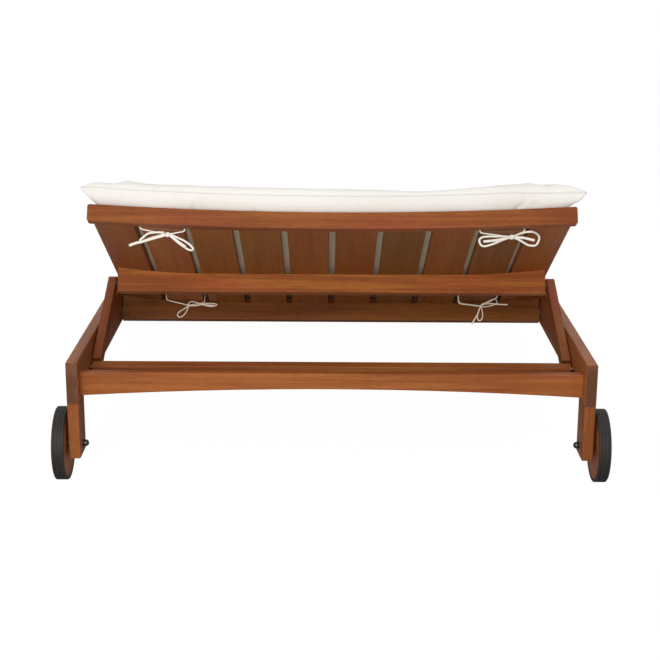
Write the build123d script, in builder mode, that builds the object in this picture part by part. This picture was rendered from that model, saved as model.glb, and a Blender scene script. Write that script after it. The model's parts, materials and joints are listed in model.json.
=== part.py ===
from build123d import *
from math import asin, atan2, cos, degrees, hypot, radians, sin, sqrt
import os

# Double chaise lounger: a slatted hardwood frame with two wheels at the head end,
# a raised backrest held by a prop frame, and loose cushions.
# X runs across, +Y towards the foot end, +Z up, and the floor is Z = 0.

# Side rails and overall frame
rail_length = 2000.0
rail_thickness = 30.0
rail_height = 113.0
rail_top_height = 332.0
frame_inner_width = 1312.0
rail_edge_radius = 3.0
rail_end_chamfer = 1.0

# Legs
leg_depth = 90.0
leg_foot_chamfer = 1.5
head_leg_floor_gap = 70.0
dowel_radius = 5.0
dowel_length = 60.0
dowel_fit = 0.05
dowel_edge_distance = 22.0

# Wheels
wheel_diameter = 194.0
tyre_width = 32.0
tyre_thickness = 6.5
tyre_shoulder_radius = 3.0
tread_groove_count = 3
tread_groove_pitch = 8.0
tread_groove_width = 2.0
tread_groove_depth = 1.4
disc_thickness = 30.0
disc_edge_radius = 2.0
axle_inset = 48.0
wheel_gap = 6.0
axle_radius = 5.0
axle_fit = 0.06
bush_wall = 4.0
bush_overhang = 1.0
bush_collar_wall = 4.0
washer_radius = 12.0
washer_thickness = 2.0
washer_fit = 0.3
bolt_head_radius = 10.0
bolt_head_height = 6.0
cap_nut_radius = 9.0
cap_nut_collar = 7.0

# Slats
slat_count = 10
slat_thickness = 20.0
slat_gap = 18.0
slat_edge_radius = 2.0
slatted_width = 1280.0
dish_depth = 21.0
dish_flat_width = 720.0
slat_underside_drop = 34.0
slat_rest_gap = 0.05

# Cross rails of the fixed frame
cross_rail_thickness = 28.0
cross_rail_edge_radius = 2.0
head_stretcher_inset = 40.0
head_stretcher_drop = 39.0
head_stretcher_height = 62.0
head_stretcher_arch = 20.0
foot_stretcher_inset = 6.0
seat_mid_share = 0.5
frame_bolt_radius = 4.0
frame_bolt_reach = 50.0
frame_bolt_head_radius = 8.0
frame_bolt_head_height = 3.5
frame_bolt_drop = 70.0
frame_bolt_fit = 0.05
head_taper_angle = 25

# Backrest: the hinge axis runs through the lower rail
hinge_from_head = 840.0
hinge_drop = 80.0
rest_angle = 30.0
flat_angle = 30.0
raised_angle = 26.0
back_length = 750.0
back_rail_thickness = 28.0
back_rail_bottom_drop = 110.0
back_side_gap = 4.0
mid_rail_from_hinge = 295.0
mid_rail_corner_radius = 5.0
top_rail_below_slats = 5.0
top_rail_height = 47.0
top_rail_rise = 20.0
top_rail_corner_radius = 6.0
top_rail_edge_radius = 2.0
seat_slat_clearance = 4.0

# Backrest pivot bolts, fixed in the side rails
pivot_radius = 6.0
pivot_fit = 0.06
pivot_reach = 45.0
pivot_head_radius = 12.0
pivot_head_height = 5.0
pivot_washer_radius = 14.0
bore_end_gap = 3.0

# Prop frame
arm_length = 380.0
arm_thickness = 23.0
arm_depth = 40.0
arm_side_gap = 3.0
arm_washer_thickness = 2.7
arm_pivot_below_axis = 2.0
crossbar_thickness = 24.0
crossbar_height = 24.0
crossbar_edge_radius = 3.0
prop_ratio = 1.76
foot_pin_drop = 77.0
foot_pin_radius = 4.0
foot_pin_in_bar = 30.0
arm_bolt_radius = 4.0
arm_bolt_fit = 0.06
arm_bolt_reach = 40.0
arm_bolt_head_radius = 8.0
arm_bolt_head_height = 4.0

# Channel in the side rails that the prop's foot pins ride in
channel_depth = 14.0
channel_clearance = 1.5
notch_radius = 6.0
notch_angles = (0.0, 8.0, 16.0, 24.0)

# Cushions
cushion_lift = 1.5
cushion_width = 1276.0
cushion_edge_height = 64.0
cushion_crown = 10.0
cushion_bulge = 12.0
cushion_end_taper = 34.0
cushion_end_lift = 8.0
cushion_end_height_share = 0.55
back_cushion_start = 31.0
back_cushion_ramp = 54.0
back_cushion_ride = 31.0
rail_lip_clearance = 4.0
seat_cushion_start = 26.0
seat_cushion_end_gap = 12.0

# Cushion ties, knotted round a slat counted in from each side
tie_slat_count = 2
tie_upper_inset = 67.0
tie_lower_inset = 38.0
tie_tape_width = 9.0
tie_tape_thickness = 2.0
tie_loop_length = 64.0
tie_loop_height = 16.0
tie_loop_angle = 14
tie_tail_length = 60.0
tie_tail_angle = 34
tie_knot_radius = 7.0
tie_knot_drop = 9.5
tie_knot_thickness = 6.0
tie_clearance = 0.3

# Derived places
inner_half = frame_inner_width / 2
outer_half = inner_half + rail_thickness
wheel_radius = wheel_diameter / 2
head_end = -(rail_length - (wheel_radius - axle_inset)) / 2
foot_end = head_end + rail_length
rail_bottom = rail_top_height - rail_height
slat_underside = rail_top_height - slat_underside_drop
slat_width = (slatted_width + slat_gap) / slat_count - slat_gap
slat_pitch = slat_width + slat_gap
slatted_half = slatted_width / 2
dish_flat_half = dish_flat_width / 2
dish_run = slatted_half - dish_flat_half
dish_radius = (dish_run**2 + dish_depth**2) / (2 * dish_depth)

hinge_y = head_end + hinge_from_head
hinge_z = rail_top_height - hinge_drop
panel_offset = slat_underside - hinge_z
back_half = inner_half - back_side_gap
back_rail_bottom = rail_top_height - back_rail_bottom_drop - hinge_z
top_rail_start = back_length - back_rail_thickness

arm_pivot_along = mid_rail_from_hinge + back_rail_thickness / 2
arm_outer = inner_half - arm_side_gap
arm_inner = arm_outer - arm_thickness
mid_rail_half_width = arm_inner - arm_washer_thickness - washer_fit
foot_pin_z = rail_top_height - foot_pin_drop
slat_tail_reach = hypot(back_rail_thickness / 2, panel_offset + slat_thickness)
seat_start = hinge_y + sqrt(slat_tail_reach**2 - panel_offset**2) + seat_slat_clearance

os.makedirs("parts", exist_ok=True)


def save(builder, name):
    """Label one finished piece and write its STEP file."""
    builder.part.label = name
    export_step(builder.part, f"parts/{name}.step")


def dish_rise(x):
    """Height of the dished slat seat above its flat middle, at a distance x from the centre."""
    run = max(abs(x) - dish_flat_half, 0)
    return dish_radius - sqrt(dish_radius**2 - run**2)


def back_point(along, above, angle=rest_angle):
    """Y and Z of a place in the backrest: along the slope and above the hinge axis."""
    turn = radians(angle)
    y = hinge_y - along * cos(turn) + above * sin(turn)
    z = hinge_z + along * sin(turn) + above * cos(turn)
    return y, z


def back_plane(along):
    """Plane across the backrest: its X is the frame's X, its Y points up out of the slats."""
    turn = radians(rest_angle)
    y, z = back_point(along, 0)
    return Plane(origin=(0, y, z), x_dir=(1, 0, 0), z_dir=(0, -cos(turn), sin(turn)))


def seat_plane(y):
    """Plane across the seat at Y, facing the head end; its Y is height above the floor."""
    return Plane(origin=(0, y, 0), x_dir=(1, 0, 0), z_dir=(0, -1, 0))


def arm_angle(angle):
    """Slope of the prop arms below level when the backrest stands at an angle."""
    y, z = back_point(arm_pivot_along, -arm_pivot_below_axis)
    slope = degrees(asin((z - foot_pin_z) / arm_length))
    return slope + (prop_ratio - 1) * (angle - rest_angle)


def foot_point(angle):
    """Y and Z of the prop's foot pins when the backrest stands at an angle."""
    y, z = back_point(arm_pivot_along, -arm_pivot_below_axis, angle)
    slope = radians(arm_angle(angle))
    return y - arm_length * cos(slope), z - arm_length * sin(slope)


def dished_outline(half, bottom, seat):
    """Edges of a board with a straight bottom and a top that carries the dished slats."""
    flat = seat - dish_depth
    with BuildLine() as outline:
        Line((0, bottom), (half, bottom))
        Line((half, bottom), (half, flat + dish_rise(half)))
        side = TangentArc((dish_flat_half, flat), (half, flat + dish_rise(half)), tangent=(1, 0))
        Line(side @ 0, (0, flat))
        mirror(about=Plane.YZ)
    return outline.edges()


def slat_places():
    """Centre, base height and tilt of each slat across the dish, from left to right."""
    places = []
    for index in range(slat_count):
        left = -slatted_half + index * slat_pitch
        right = left + slat_width
        rise = dish_rise(right) - dish_rise(left)
        base = (dish_rise(left) + dish_rise(right)) / 2 - dish_depth + slat_rest_gap
        places.append((left + slat_width / 2, base, degrees(atan2(rise, slat_width))))
    return places


# Side rails
channel = [foot_point(rest_angle + turn) for turn in (-flat_angle, 0, raised_angle)]
channel_top = max(z for y, z in channel) + foot_pin_radius + channel_clearance
channel_bottom = min(z for y, z in channel) - foot_pin_radius - channel_clearance
channel_height = channel_top - channel_bottom
channel_start = channel[0][0]
channel_end = channel[-1][0]
frame_bolt_z = rail_top_height - frame_bolt_drop
head_stretcher_y = head_end + head_stretcher_inset
foot_stretcher_y = foot_end - foot_stretcher_inset - cross_rail_thickness
seat_head_y = hinge_y + slat_tail_reach + seat_slat_clearance
seat_mid_y = seat_head_y + (foot_stretcher_y - seat_head_y) * seat_mid_share
cross_rail_ys = [head_stretcher_y, seat_head_y, seat_mid_y, foot_stretcher_y]
dowel_spacing = leg_depth - 2 * dowel_edge_distance
leg_centres = [head_end + leg_depth / 2, foot_end - leg_depth / 2]
dowel_ys = [centre + side * dowel_spacing / 2 for centre in leg_centres for side in (-1, 1)]

with BuildPart() as side_rail_right:
    with BuildSketch(Plane.YZ.offset(inner_half)):
        with Locations(((head_end + foot_end) / 2, rail_bottom + rail_height / 2)):
            Rectangle(rail_length, rail_height)
    extrude(amount=rail_thickness)
    fillet(side_rail_right.edges().filter_by(Axis.Y), rail_edge_radius)
    chamfer(side_rail_right.faces().sort_by(Axis.Y)[0].edges(), rail_end_chamfer)
    with BuildSketch(Plane.YZ.offset(inner_half)):
        with Locations(((channel_start + channel_end) / 2, (channel_top + channel_bottom) / 2)):
            SlotCenterToCenter(channel_end - channel_start, channel_height)
        for turn in notch_angles:
            with Locations((foot_point(rest_angle + turn)[0], channel_bottom)):
                Circle(notch_radius)
    extrude(amount=channel_depth, mode=Mode.SUBTRACT)
    with BuildSketch(Plane.YZ.offset(inner_half)):
        with Locations((hinge_y, hinge_z)):
            Circle(pivot_radius + dowel_fit)
        for rail_y in cross_rail_ys:
            with Locations((rail_y + cross_rail_thickness / 2, frame_bolt_z)):
                Circle(frame_bolt_radius + frame_bolt_fit)
    extrude(amount=rail_thickness, mode=Mode.SUBTRACT)
    with BuildSketch(Plane.XY.offset(rail_bottom)):
        for dowel_y in dowel_ys:
            with Locations((inner_half + rail_thickness / 2, dowel_y)):
                Circle(dowel_radius + dowel_fit)
    extrude(amount=dowel_length / 2, mode=Mode.SUBTRACT)
save(side_rail_right, "side_rail_right")

with BuildPart() as side_rail_left:
    mirror(side_rail_right.part, about=Plane.YZ)
save(side_rail_left, "side_rail_left")

# Legs
head_leg_height = rail_bottom - head_leg_floor_gap


def build_leg(name, centre, height, axle_hole):
    """Leg under one side rail: its twin on the other side is the mirror image."""
    with BuildPart() as leg:
        with BuildSketch(Plane.XY.offset(rail_bottom)):
            with Locations((inner_half + rail_thickness / 2, centre)):
                Rectangle(rail_thickness, leg_depth)
        extrude(amount=-height)
        fillet(leg.edges().filter_by(Axis.Z), rail_edge_radius)
        chamfer(leg.faces().sort_by(Axis.Z)[0].edges(), leg_foot_chamfer)
        with BuildSketch(Plane.XY.offset(rail_bottom)):
            with Locations((inner_half + rail_thickness / 2, centre)):
                with GridLocations(0, dowel_spacing, 1, 2):
                    Circle(dowel_radius + dowel_fit)
        extrude(amount=-dowel_length / 2, mode=Mode.SUBTRACT)
        if axle_hole:
            with BuildSketch(Plane.YZ.offset(inner_half)):
                with Locations((head_end + axle_inset, wheel_radius)):
                    Circle(axle_radius + dowel_fit)
            extrude(amount=rail_thickness, mode=Mode.SUBTRACT)
    save(leg, f"{name}_right")
    with BuildPart() as twin:
        mirror(leg.part, about=Plane.YZ)
    save(twin, f"{name}_left")


build_leg("head_leg", leg_centres[0], head_leg_height, axle_hole=True)
build_leg("foot_leg", leg_centres[1], rail_bottom, axle_hole=False)

with BuildPart() as leg_dowels:
    with BuildSketch(Plane.XY.offset(rail_bottom - dowel_length / 2)):
        for side in (-1, 1):
            for dowel_y in dowel_ys:
                with Locations((side * (inner_half + rail_thickness / 2), dowel_y)):
                    Circle(dowel_radius)
    extrude(amount=dowel_length)
save(leg_dowels, "leg_dowels")


# Cross rails of the fixed frame
def round_at(x, y, z, radius):
    """Disc-shaped sketch on the plane at X, centred at Y and Z."""
    with BuildSketch(Plane.YZ.offset(x)) as disc:
        with Locations((y, z)):
            Circle(radius)
    return disc.sketch


with BuildPart() as head_stretcher:
    stretcher_top = rail_top_height - head_stretcher_drop
    stretcher_bottom = stretcher_top - head_stretcher_height
    with BuildSketch(seat_plane(head_stretcher_y + cross_rail_thickness)):
        with BuildLine():
            Polyline(
                (-inner_half, stretcher_bottom),
                (-inner_half, stretcher_top),
                (inner_half, stretcher_top),
                (inner_half, stretcher_bottom),
            )
            ThreePointArc(
                (-inner_half, stretcher_bottom),
                (0, stretcher_bottom + head_stretcher_arch),
                (inner_half, stretcher_bottom),
            )
        make_face()
    extrude(amount=cross_rail_thickness)
    fillet(head_stretcher.edges().filter_by(Axis.X), cross_rail_edge_radius)
    for side in (-1, 1):
        bolt_y = head_stretcher_y + cross_rail_thickness / 2
        bore = round_at(side * inner_half, bolt_y, frame_bolt_z, frame_bolt_radius + frame_bolt_fit)
        extrude(bore, amount=-side * frame_bolt_reach, mode=Mode.SUBTRACT)
save(head_stretcher, "head_stretcher")

fixed_rails = {
    "seat_head_rail": seat_head_y,
    "seat_mid_rail": seat_mid_y,
    "foot_stretcher": foot_stretcher_y,
}
for rail_name, rail_y in fixed_rails.items():
    with BuildPart() as cross_rail:
        with BuildSketch(seat_plane(rail_y + cross_rail_thickness)):
            make_face(dished_outline(inner_half, rail_bottom, slat_underside))
        extrude(amount=cross_rail_thickness)
        lower_edges = cross_rail.faces().sort_by(Axis.Z)[0].edges().filter_by(Axis.X)
        fillet(lower_edges, cross_rail_edge_radius)
        for side in (-1, 1):
            bolt_y = rail_y + cross_rail_thickness / 2
            bore = round_at(side * inner_half, bolt_y, frame_bolt_z, frame_bolt_radius + frame_bolt_fit)
            extrude(bore, amount=-side * frame_bolt_reach, mode=Mode.SUBTRACT)
    save(cross_rail, rail_name)

with BuildPart() as frame_bolts:
    for side in (-1, 1):
        for rail_y in cross_rail_ys:
            bolt_y = rail_y + cross_rail_thickness / 2
            shank = round_at(side * outer_half, bolt_y, frame_bolt_z, frame_bolt_radius)
            extrude(shank, amount=-side * (rail_thickness + frame_bolt_reach - bore_end_gap))
            head = round_at(side * outer_half, bolt_y, frame_bolt_z, frame_bolt_head_radius)
            extrude(head, amount=side * frame_bolt_head_height, taper=head_taper_angle)
save(frame_bolts, "frame_bolts")

# Slats
places = slat_places()
seat_slat_length = foot_end - foot_stretcher_inset - seat_start
back_slat_tail = back_rail_thickness / 2
back_slat_length = top_rail_start + back_slat_tail

for number, (centre, base, tilt) in enumerate(places, start=1):
    with BuildPart() as seat_slat:
        with BuildSketch(seat_plane(foot_end - foot_stretcher_inset)):
            middle = slat_thickness / 2
            height = slat_underside + base + middle * cos(radians(tilt))
            with Locations((centre - middle * sin(radians(tilt)), height)):
                RectangleRounded(slat_width, slat_thickness, slat_edge_radius, rotation=tilt)
        extrude(amount=seat_slat_length)
    save(seat_slat, f"seat_slat_{number}")
    with BuildPart() as back_slat:
        with BuildSketch(back_plane(-back_slat_tail)):
            height = panel_offset + base + middle * cos(radians(tilt))
            with Locations((centre - middle * sin(radians(tilt)), height)):
                RectangleRounded(slat_width, slat_thickness, slat_edge_radius, rotation=tilt)
        extrude(amount=back_slat_length)
    save(back_slat, f"back_slat_{number}")

# Backrest rails
arm_pivot_y, arm_pivot_z = back_point(arm_pivot_along, -arm_pivot_below_axis)

with BuildPart() as back_lower_rail:
    with BuildSketch(back_plane(-back_rail_thickness / 2)):
        make_face(dished_outline(back_half, back_rail_bottom, panel_offset))
    extrude(amount=back_rail_thickness)
    fillet(back_lower_rail.faces().sort_by(Axis.Z)[0].edges().filter_by(Axis.X), cross_rail_edge_radius)
    for side in (-1, 1):
        bore = round_at(side * back_half, hinge_y, hinge_z, pivot_radius + pivot_fit)
        extrude(bore, amount=-side * pivot_reach, mode=Mode.SUBTRACT)
save(back_lower_rail, "back_lower_rail")

with BuildPart() as back_mid_rail:
    with BuildSketch(back_plane(mid_rail_from_hinge)):
        make_face(dished_outline(mid_rail_half_width, back_rail_bottom, panel_offset))
        fillet(vertices().group_by(Axis.Y)[0], mid_rail_corner_radius)
    extrude(amount=back_rail_thickness)
    fillet(back_mid_rail.faces().sort_by(Axis.Z)[0].edges().filter_by(Axis.X), cross_rail_edge_radius)
    for side in (-1, 1):
        bore_radius = arm_bolt_radius + arm_bolt_fit
        bore = round_at(side * mid_rail_half_width, arm_pivot_y, arm_pivot_z, bore_radius)
        extrude(bore, amount=-side * arm_bolt_reach, mode=Mode.SUBTRACT)
save(back_mid_rail, "back_mid_rail")

with BuildPart() as back_top_rail:
    lip = panel_offset - top_rail_below_slats
    crest = lip + top_rail_height
    with BuildSketch(back_plane(top_rail_start)):
        with BuildLine():
            ThreePointArc((-back_half, lip), (0, lip - top_rail_rise), (back_half, lip))
            Line((back_half, lip), (back_half, crest))
            ThreePointArc((back_half, crest), (0, crest - top_rail_rise), (-back_half, crest))
            Line((-back_half, crest), (-back_half, lip))
        make_face()
        fillet(vertices(), top_rail_corner_radius)
    extrude(amount=back_rail_thickness)
    fillet(back_top_rail.faces().sort_by(Axis.Y)[0].edges(), top_rail_edge_radius)
save(back_top_rail, "back_top_rail")

# Backrest pivot bolts and washers
with BuildPart() as back_pivot_bolts:
    for side in (-1, 1):
        shank = round_at(side * outer_half, hinge_y, hinge_z, pivot_radius)
        extrude(shank, amount=-side * (outer_half - back_half + pivot_reach - bore_end_gap))
        head = round_at(side * outer_half, hinge_y, hinge_z, pivot_head_radius)
        extrude(head, amount=side * pivot_head_height, taper=head_taper_angle)
save(back_pivot_bolts, "back_pivot_bolts")

with BuildPart() as back_pivot_washers:
    for side in (-1, 1):
        with BuildSketch(Plane.YZ.offset(side * inner_half)):
            with Locations((hinge_y, hinge_z)):
                Circle(pivot_washer_radius)
                Circle(pivot_radius + pivot_fit, mode=Mode.SUBTRACT)
        extrude(amount=-side * (back_side_gap - washer_fit))
save(back_pivot_washers, "back_pivot_washers")

# Prop frame
arm_turn = radians(arm_angle(rest_angle))


def arm_plane(x):
    """Plane along a prop arm: its X runs from the pivot to the foot, its Y points down."""
    return Plane(
        origin=(x, arm_pivot_y, arm_pivot_z),
        x_dir=(0, -cos(arm_turn), -sin(arm_turn)),
        z_dir=(1, 0, 0),
    )


with BuildPart() as prop_arm_right:
    straight = arm_length - crossbar_thickness / 2
    with BuildSketch(arm_plane(arm_inner)):
        Circle(arm_depth / 2)
        with Locations((straight / 2, 0)):
            Rectangle(straight, arm_depth)
    extrude(amount=arm_thickness)
    with BuildSketch(arm_plane(arm_inner)):
        Circle(arm_bolt_radius + dowel_fit)
    extrude(amount=arm_thickness, mode=Mode.SUBTRACT)
    with BuildSketch(arm_plane(arm_outer)):
        Circle(arm_bolt_head_radius + dowel_fit)
    extrude(amount=-arm_bolt_head_height, mode=Mode.SUBTRACT)
save(prop_arm_right, "prop_arm_right")

with BuildPart() as prop_arm_left:
    mirror(prop_arm_right.part, about=Plane.YZ)
save(prop_arm_left, "prop_arm_left")

with BuildPart() as prop_crossbar:
    with BuildSketch(arm_plane(-arm_outer)):
        with Locations((arm_length, 0)):
            RectangleRounded(crossbar_thickness, crossbar_height, crossbar_edge_radius)
    extrude(amount=2 * arm_outer)
    for side in (-1, 1):
        with BuildSketch(arm_plane(side * arm_outer)):
            with Locations((arm_length, 0)):
                Circle(foot_pin_radius + dowel_fit)
        extrude(amount=-side * foot_pin_in_bar, mode=Mode.SUBTRACT)
save(prop_crossbar, "prop_crossbar")

with BuildPart() as prop_foot_pins:
    for side in (-1, 1):
        with BuildSketch(arm_plane(side * (arm_outer - foot_pin_in_bar))):
            with Locations((arm_length, 0)):
                Circle(foot_pin_radius)
        extrude(amount=side * (foot_pin_in_bar + arm_side_gap + channel_depth - bore_end_gap))
save(prop_foot_pins, "prop_foot_pins")

with BuildPart() as prop_pivot_bolts:
    for side in (-1, 1):
        with BuildSketch(arm_plane(side * arm_outer)):
            Circle(arm_bolt_radius)
        extrude(amount=-side * (arm_outer - mid_rail_half_width + arm_bolt_reach - bore_end_gap))
        with BuildSketch(arm_plane(side * arm_outer)):
            Circle(arm_bolt_head_radius)
        extrude(amount=-side * arm_bolt_head_height)
save(prop_pivot_bolts, "prop_pivot_bolts")

with BuildPart() as prop_pivot_washers:
    for side in (-1, 1):
        with BuildSketch(arm_plane(side * arm_inner)):
            Circle(washer_radius)
            Circle(arm_bolt_radius + arm_bolt_fit, mode=Mode.SUBTRACT)
        extrude(amount=-side * arm_washer_thickness)
save(prop_pivot_washers, "prop_pivot_washers")

# Wheels
axle_y = head_end + axle_inset
wheel_inner = outer_half + wheel_gap
wheel_centre = wheel_inner + tyre_width / 2
disc_radius = wheel_radius - tyre_thickness
bush_radius = axle_radius + axle_fit + bush_wall
wheel_outer = wheel_inner + tyre_width


def wheel_profile_plane():
    """Plane through the right wheel's axle: its X runs outwards, its Y is the radius."""
    return Plane(origin=(wheel_centre, axle_y, wheel_radius), x_dir=(1, 0, 0), z_dir=(0, -1, 0))


wheel_axis = Axis((wheel_centre, axle_y, wheel_radius), (1, 0, 0))

with BuildPart() as wheel_tyre_right:
    with BuildSketch(wheel_profile_plane()):
        with Locations((0, wheel_radius - tyre_thickness / 2)):
            Rectangle(tyre_width, tyre_thickness)
        fillet(vertices().group_by(Axis.Y)[-1], tyre_shoulder_radius)
        with Locations((0, wheel_radius)):
            with GridLocations(tread_groove_pitch, 0, tread_groove_count, 1):
                Rectangle(tread_groove_width, 2 * tread_groove_depth, mode=Mode.SUBTRACT)
    revolve(axis=wheel_axis)
save(wheel_tyre_right, "wheel_tyre_right")

with BuildPart() as wheel_disc_right:
    with BuildSketch(wheel_profile_plane()):
        with BuildLine():
            half_disc = disc_thickness / 2
            Polyline(
                (-half_disc, bush_radius + dowel_fit),
                (half_disc, bush_radius + dowel_fit),
                (half_disc, disc_radius - dowel_fit - disc_edge_radius),
                (half_disc - disc_edge_radius, disc_radius - dowel_fit),
                (disc_edge_radius - half_disc, disc_radius - dowel_fit),
                (-half_disc, disc_radius - dowel_fit - disc_edge_radius),
                close=True,
            )
        make_face()
    revolve(axis=wheel_axis)
save(wheel_disc_right, "wheel_disc_right")

bush_half = disc_thickness / 2 + bush_overhang
with BuildPart() as wheel_bush_right:
    with BuildSketch(wheel_profile_plane()):
        with Locations((0, axle_radius + axle_fit + bush_wall / 2)):
            Rectangle(2 * bush_half, bush_wall)
        for side in (-1, 1):
            with Locations((side * (disc_thickness / 2 + bush_overhang / 2), bush_radius)):
                Rectangle(bush_overhang, 2 * bush_collar_wall)
    revolve(axis=wheel_axis)
save(wheel_bush_right, "wheel_bush_right")

for wheel_piece, wheel_name in (
    (wheel_tyre_right, "wheel_tyre_left"),
    (wheel_disc_right, "wheel_disc_left"),
    (wheel_bush_right, "wheel_bush_left"),
):
    with BuildPart() as left_piece:
        mirror(wheel_piece.part, about=Plane.YZ)
    save(left_piece, wheel_name)

washer_inner_length = wheel_centre - bush_half - outer_half - washer_fit
bolt_head_start = wheel_centre + bush_half + washer_fit + washer_thickness


with BuildPart() as axle_bolts:
    for side in (-1, 1):
        shank = round_at(side * bolt_head_start, axle_y, wheel_radius, axle_radius)
        extrude(shank, amount=-side * (bolt_head_start - inner_half))
        head = round_at(side * bolt_head_start, axle_y, wheel_radius, bolt_head_radius)
        extrude(head, amount=side * bolt_head_height, taper=head_taper_angle)
save(axle_bolts, "axle_bolts")

with BuildPart() as axle_washers:
    for side in (-1, 1):
        for start, length in (
            (outer_half, washer_inner_length),
            (wheel_centre + bush_half + washer_fit, washer_thickness),
        ):
            with BuildSketch(Plane.YZ.offset(side * start)):
                with Locations((axle_y, wheel_radius)):
                    Circle(washer_radius)
                    Circle(axle_radius + dowel_fit, mode=Mode.SUBTRACT)
            extrude(amount=side * length)
save(axle_washers, "axle_washers")

with BuildPart() as axle_cap_nuts:
    for side in (-1, 1):
        nut_plane = Plane(
            origin=(side * inner_half, axle_y, wheel_radius), x_dir=(-side, 0, 0), z_dir=(0, side, 0)
        )
        with BuildSketch(nut_plane):
            with BuildLine():
                Polyline(
                    (0, 0),
                    (0, cap_nut_radius),
                    (cap_nut_collar, cap_nut_radius),
                )
                RadiusArc(
                    (cap_nut_collar, cap_nut_radius),
                    (cap_nut_collar + cap_nut_radius, 0),
                    cap_nut_radius,
                )
                Line((cap_nut_collar + cap_nut_radius, 0), (0, 0))
            make_face()
        revolve(axis=Axis((side * inner_half, axle_y, wheel_radius), (side, 0, 0)))
save(axle_cap_nuts, "axle_cap_nuts")


# Cushions
def cushion_section(half, floor, height, crown):
    """Edges across a cushion that follows the dish below and is crowned on top."""
    flat = floor - dish_depth
    foot = half - cushion_bulge
    corner = flat + dish_rise(foot)
    with BuildLine() as outline:
        Line((0, flat), (dish_flat_half, flat))
        TangentArc((dish_flat_half, flat), (foot, corner), tangent=(1, 0))
        ThreePointArc((foot, corner), (half, corner + height / 2), (foot, corner + height))
        mirror(about=Plane.YZ)
        ThreePointArc((foot, corner + height), (0, flat + height + crown), (-foot, corner + height))
    return outline.edges()


def build_cushion(name, plane_at, floor, stations):
    """Loft a cushion through stations: place, lift off the slats, and whether it is an end."""
    half = cushion_width / 2
    with BuildPart() as cushion:
        for place, lift, at_end in stations:
            share = cushion_end_height_share if at_end else 1
            inset = cushion_bulge if at_end else 0
            base = floor + lift + (cushion_end_lift if at_end else 0)
            height = cushion_edge_height * share
            with BuildSketch(plane_at(place)):
                make_face(cushion_section(half - inset, base, height, cushion_crown * share))
        loft(ruled=True)
    save(cushion, name)


ride_start = top_rail_start - rail_lip_clearance
build_cushion(
    "back_cushion",
    back_plane,
    panel_offset + slat_thickness + cushion_lift,
    (
        (back_cushion_start, 0, True),
        (back_cushion_start + cushion_end_taper, 0, False),
        (ride_start - back_cushion_ramp, 0, False),
        (ride_start, back_cushion_ride, False),
        (back_length, back_cushion_ride, True),
    ),
)
seat_cushion_head = seat_start + seat_cushion_start
seat_cushion_foot = foot_end - seat_cushion_end_gap
build_cushion(
    "seat_cushion",
    seat_plane,
    slat_underside + slat_thickness + cushion_lift,
    (
        (seat_cushion_foot, 0, True),
        (seat_cushion_foot - cushion_end_taper, 0, False),
        (seat_cushion_head + cushion_end_taper, 0, False),
        (seat_cushion_head, 0, True),
    ),
)

# Cushion ties: each holds a slat from below and hangs in a bow
tie_wrap = slat_width / 2 + tie_clearance + tie_tape_thickness / 2
tie_drop = tie_clearance + tie_tape_thickness / 2

with BuildPart() as cushion_ties:
    for centre, base, tilt in (places[tie_slat_count - 1], places[-tie_slat_count]):
        for along in (top_rail_start - tie_upper_inset, back_rail_thickness / 2 + tie_lower_inset):
            with BuildSketch(back_plane(along)):
                with Locations(Location((centre, panel_offset + base, 0), (0, 0, tilt))):
                    with Locations((0, -tie_drop)):
                        Rectangle(2 * tie_wrap + tie_tape_thickness, tie_tape_thickness)
                    for side in (-1, 1):
                        with Locations((side * tie_wrap, (slat_thickness - tie_drop) / 2)):
                            Rectangle(tie_tape_thickness, slat_thickness + tie_drop)
            extrude(amount=tie_tape_width)
            y, z = back_point(along + tie_tape_width, panel_offset + base - tie_drop)
            bow_plane = Plane(origin=(centre, y, z - tie_knot_drop), x_dir=(1, 0, 0), z_dir=(0, -1, 0))
            with BuildSketch(bow_plane):
                for side in (-1, 1):
                    loop = Location((0, 0, 0), (0, 0, -side * tie_loop_angle))
                    tail = Location((0, 0, 0), (0, 0, -side * tie_tail_angle))
                    with Locations(loop):
                        with Locations((side * tie_loop_length / 2, 0)):
                            Ellipse(tie_loop_length / 2, tie_loop_height / 2)
                    with Locations(tail):
                        with Locations((side * tie_tail_length / 2, 0)):
                            Rectangle(tie_tail_length, tie_tape_width)
            extrude(amount=tie_tape_thickness)
            with BuildSketch(bow_plane):
                Circle(tie_knot_radius)
            extrude(amount=tie_knot_thickness / 2, both=True)
save(cushion_ties, "cushion_ties")
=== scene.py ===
import json
from math import atan2, cos, exp, pi, radians, sin, sqrt

import bmesh
import bpy
from mathutils import Matrix, Vector, noise


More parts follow.
